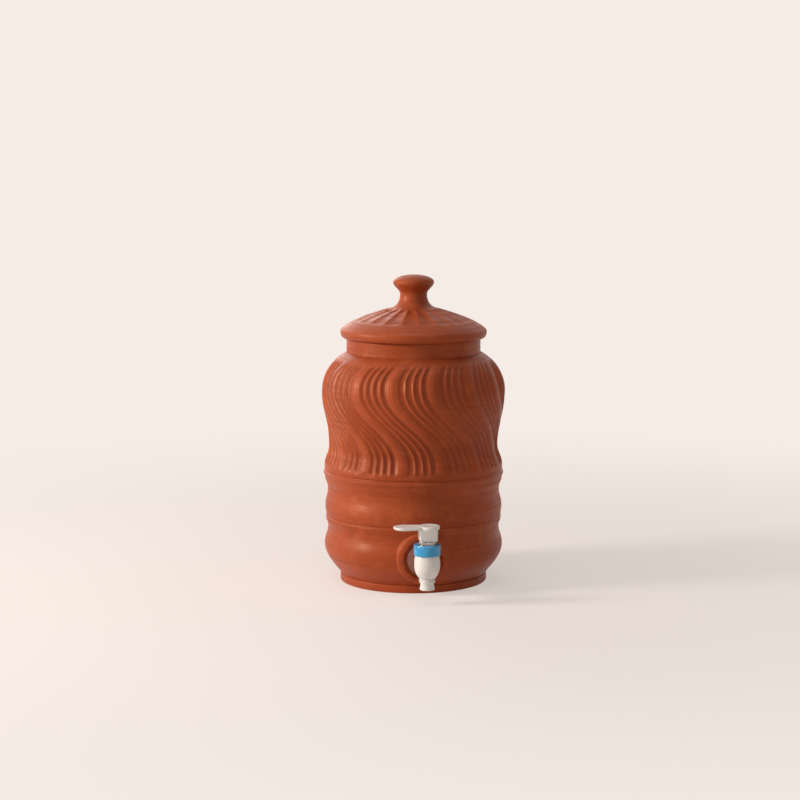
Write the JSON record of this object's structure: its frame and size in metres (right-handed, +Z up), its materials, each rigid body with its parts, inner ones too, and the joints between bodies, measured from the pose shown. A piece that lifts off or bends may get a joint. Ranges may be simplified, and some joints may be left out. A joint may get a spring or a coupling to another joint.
{
  "type": "clay water pot",
  "caption": "Terracotta water pot with a wave-carved shoulder, turned bands, a domed petalled lid with a knob, and a sprung lever tap low on its front.",
  "frame": {"origin": "centre of the foot's flat underside", "axes": "+Z up the pot's axis to the knob, -Y out through the tap, -X along the lever's paddle at rest"},
  "size_m": [0.199, 0.2476, 0.335],
  "materials": {
    "clay": "fired, polished to a satin",
    "tap_white": "moulded, glossy",
    "collar_blue": "moulded, glossy",
    "steel": "pressed and polished",
    "washer": "moulded, matt",
    "seal": "moulded, matt"
  },
  "bodies": {
    "pot": {"pot_body": "clay", "tap_body": "tap_white", "collar_nut": "collar_blue", "bonnet": "tap_white", "bonnet_sleeve": "steel", "bonnet_gasket": "washer", "stem_o_ring": "washer", "return_spring": "steel", "outer_gasket": "washer", "inner_gasket": "washer", "lock_nut": "tap_white"},
    "lid": {"lid": "clay"},
    "valve": {"valve_seal": "seal"},
    "stem": {"stem": "tap_white", "hinge_pin": "steel"},
    "lever": {"lever": "tap_white", "lever_cap": "tap_white"}
  },
  "joints": [
    {"name": "lid_lift", "type": "slide", "parent": "pot", "child": "lid", "axis": [0, 0, 1], "range_m": [0, 0.08]},
    {"name": "valve_lift", "type": "slide", "parent": "pot", "child": "valve", "axis": [0, 0, 1], "range_m": [0, 0.00246], "deforming": ["return_spring"]},
    {"name": "lever_swivel", "type": "hinge", "parent": "valve", "child": "stem", "pos_m": [0, -0.134, 0.07365], "axis": [0, 0, 1], "continuous": true},
    {"name": "lever_press", "type": "hinge", "parent": "stem", "child": "lever", "pos_m": [0, -0.134, 0.07365], "axis": [0, -1, 0], "range_deg": [0, 22], "stiffness_Nm_per_rad": 0.02, "springref_deg": -34.38}
  ],
  "couplings": [
    {"joint": "lever_press", "follows": "valve_lift", "rad_per_m": 156.25}
  ]
}
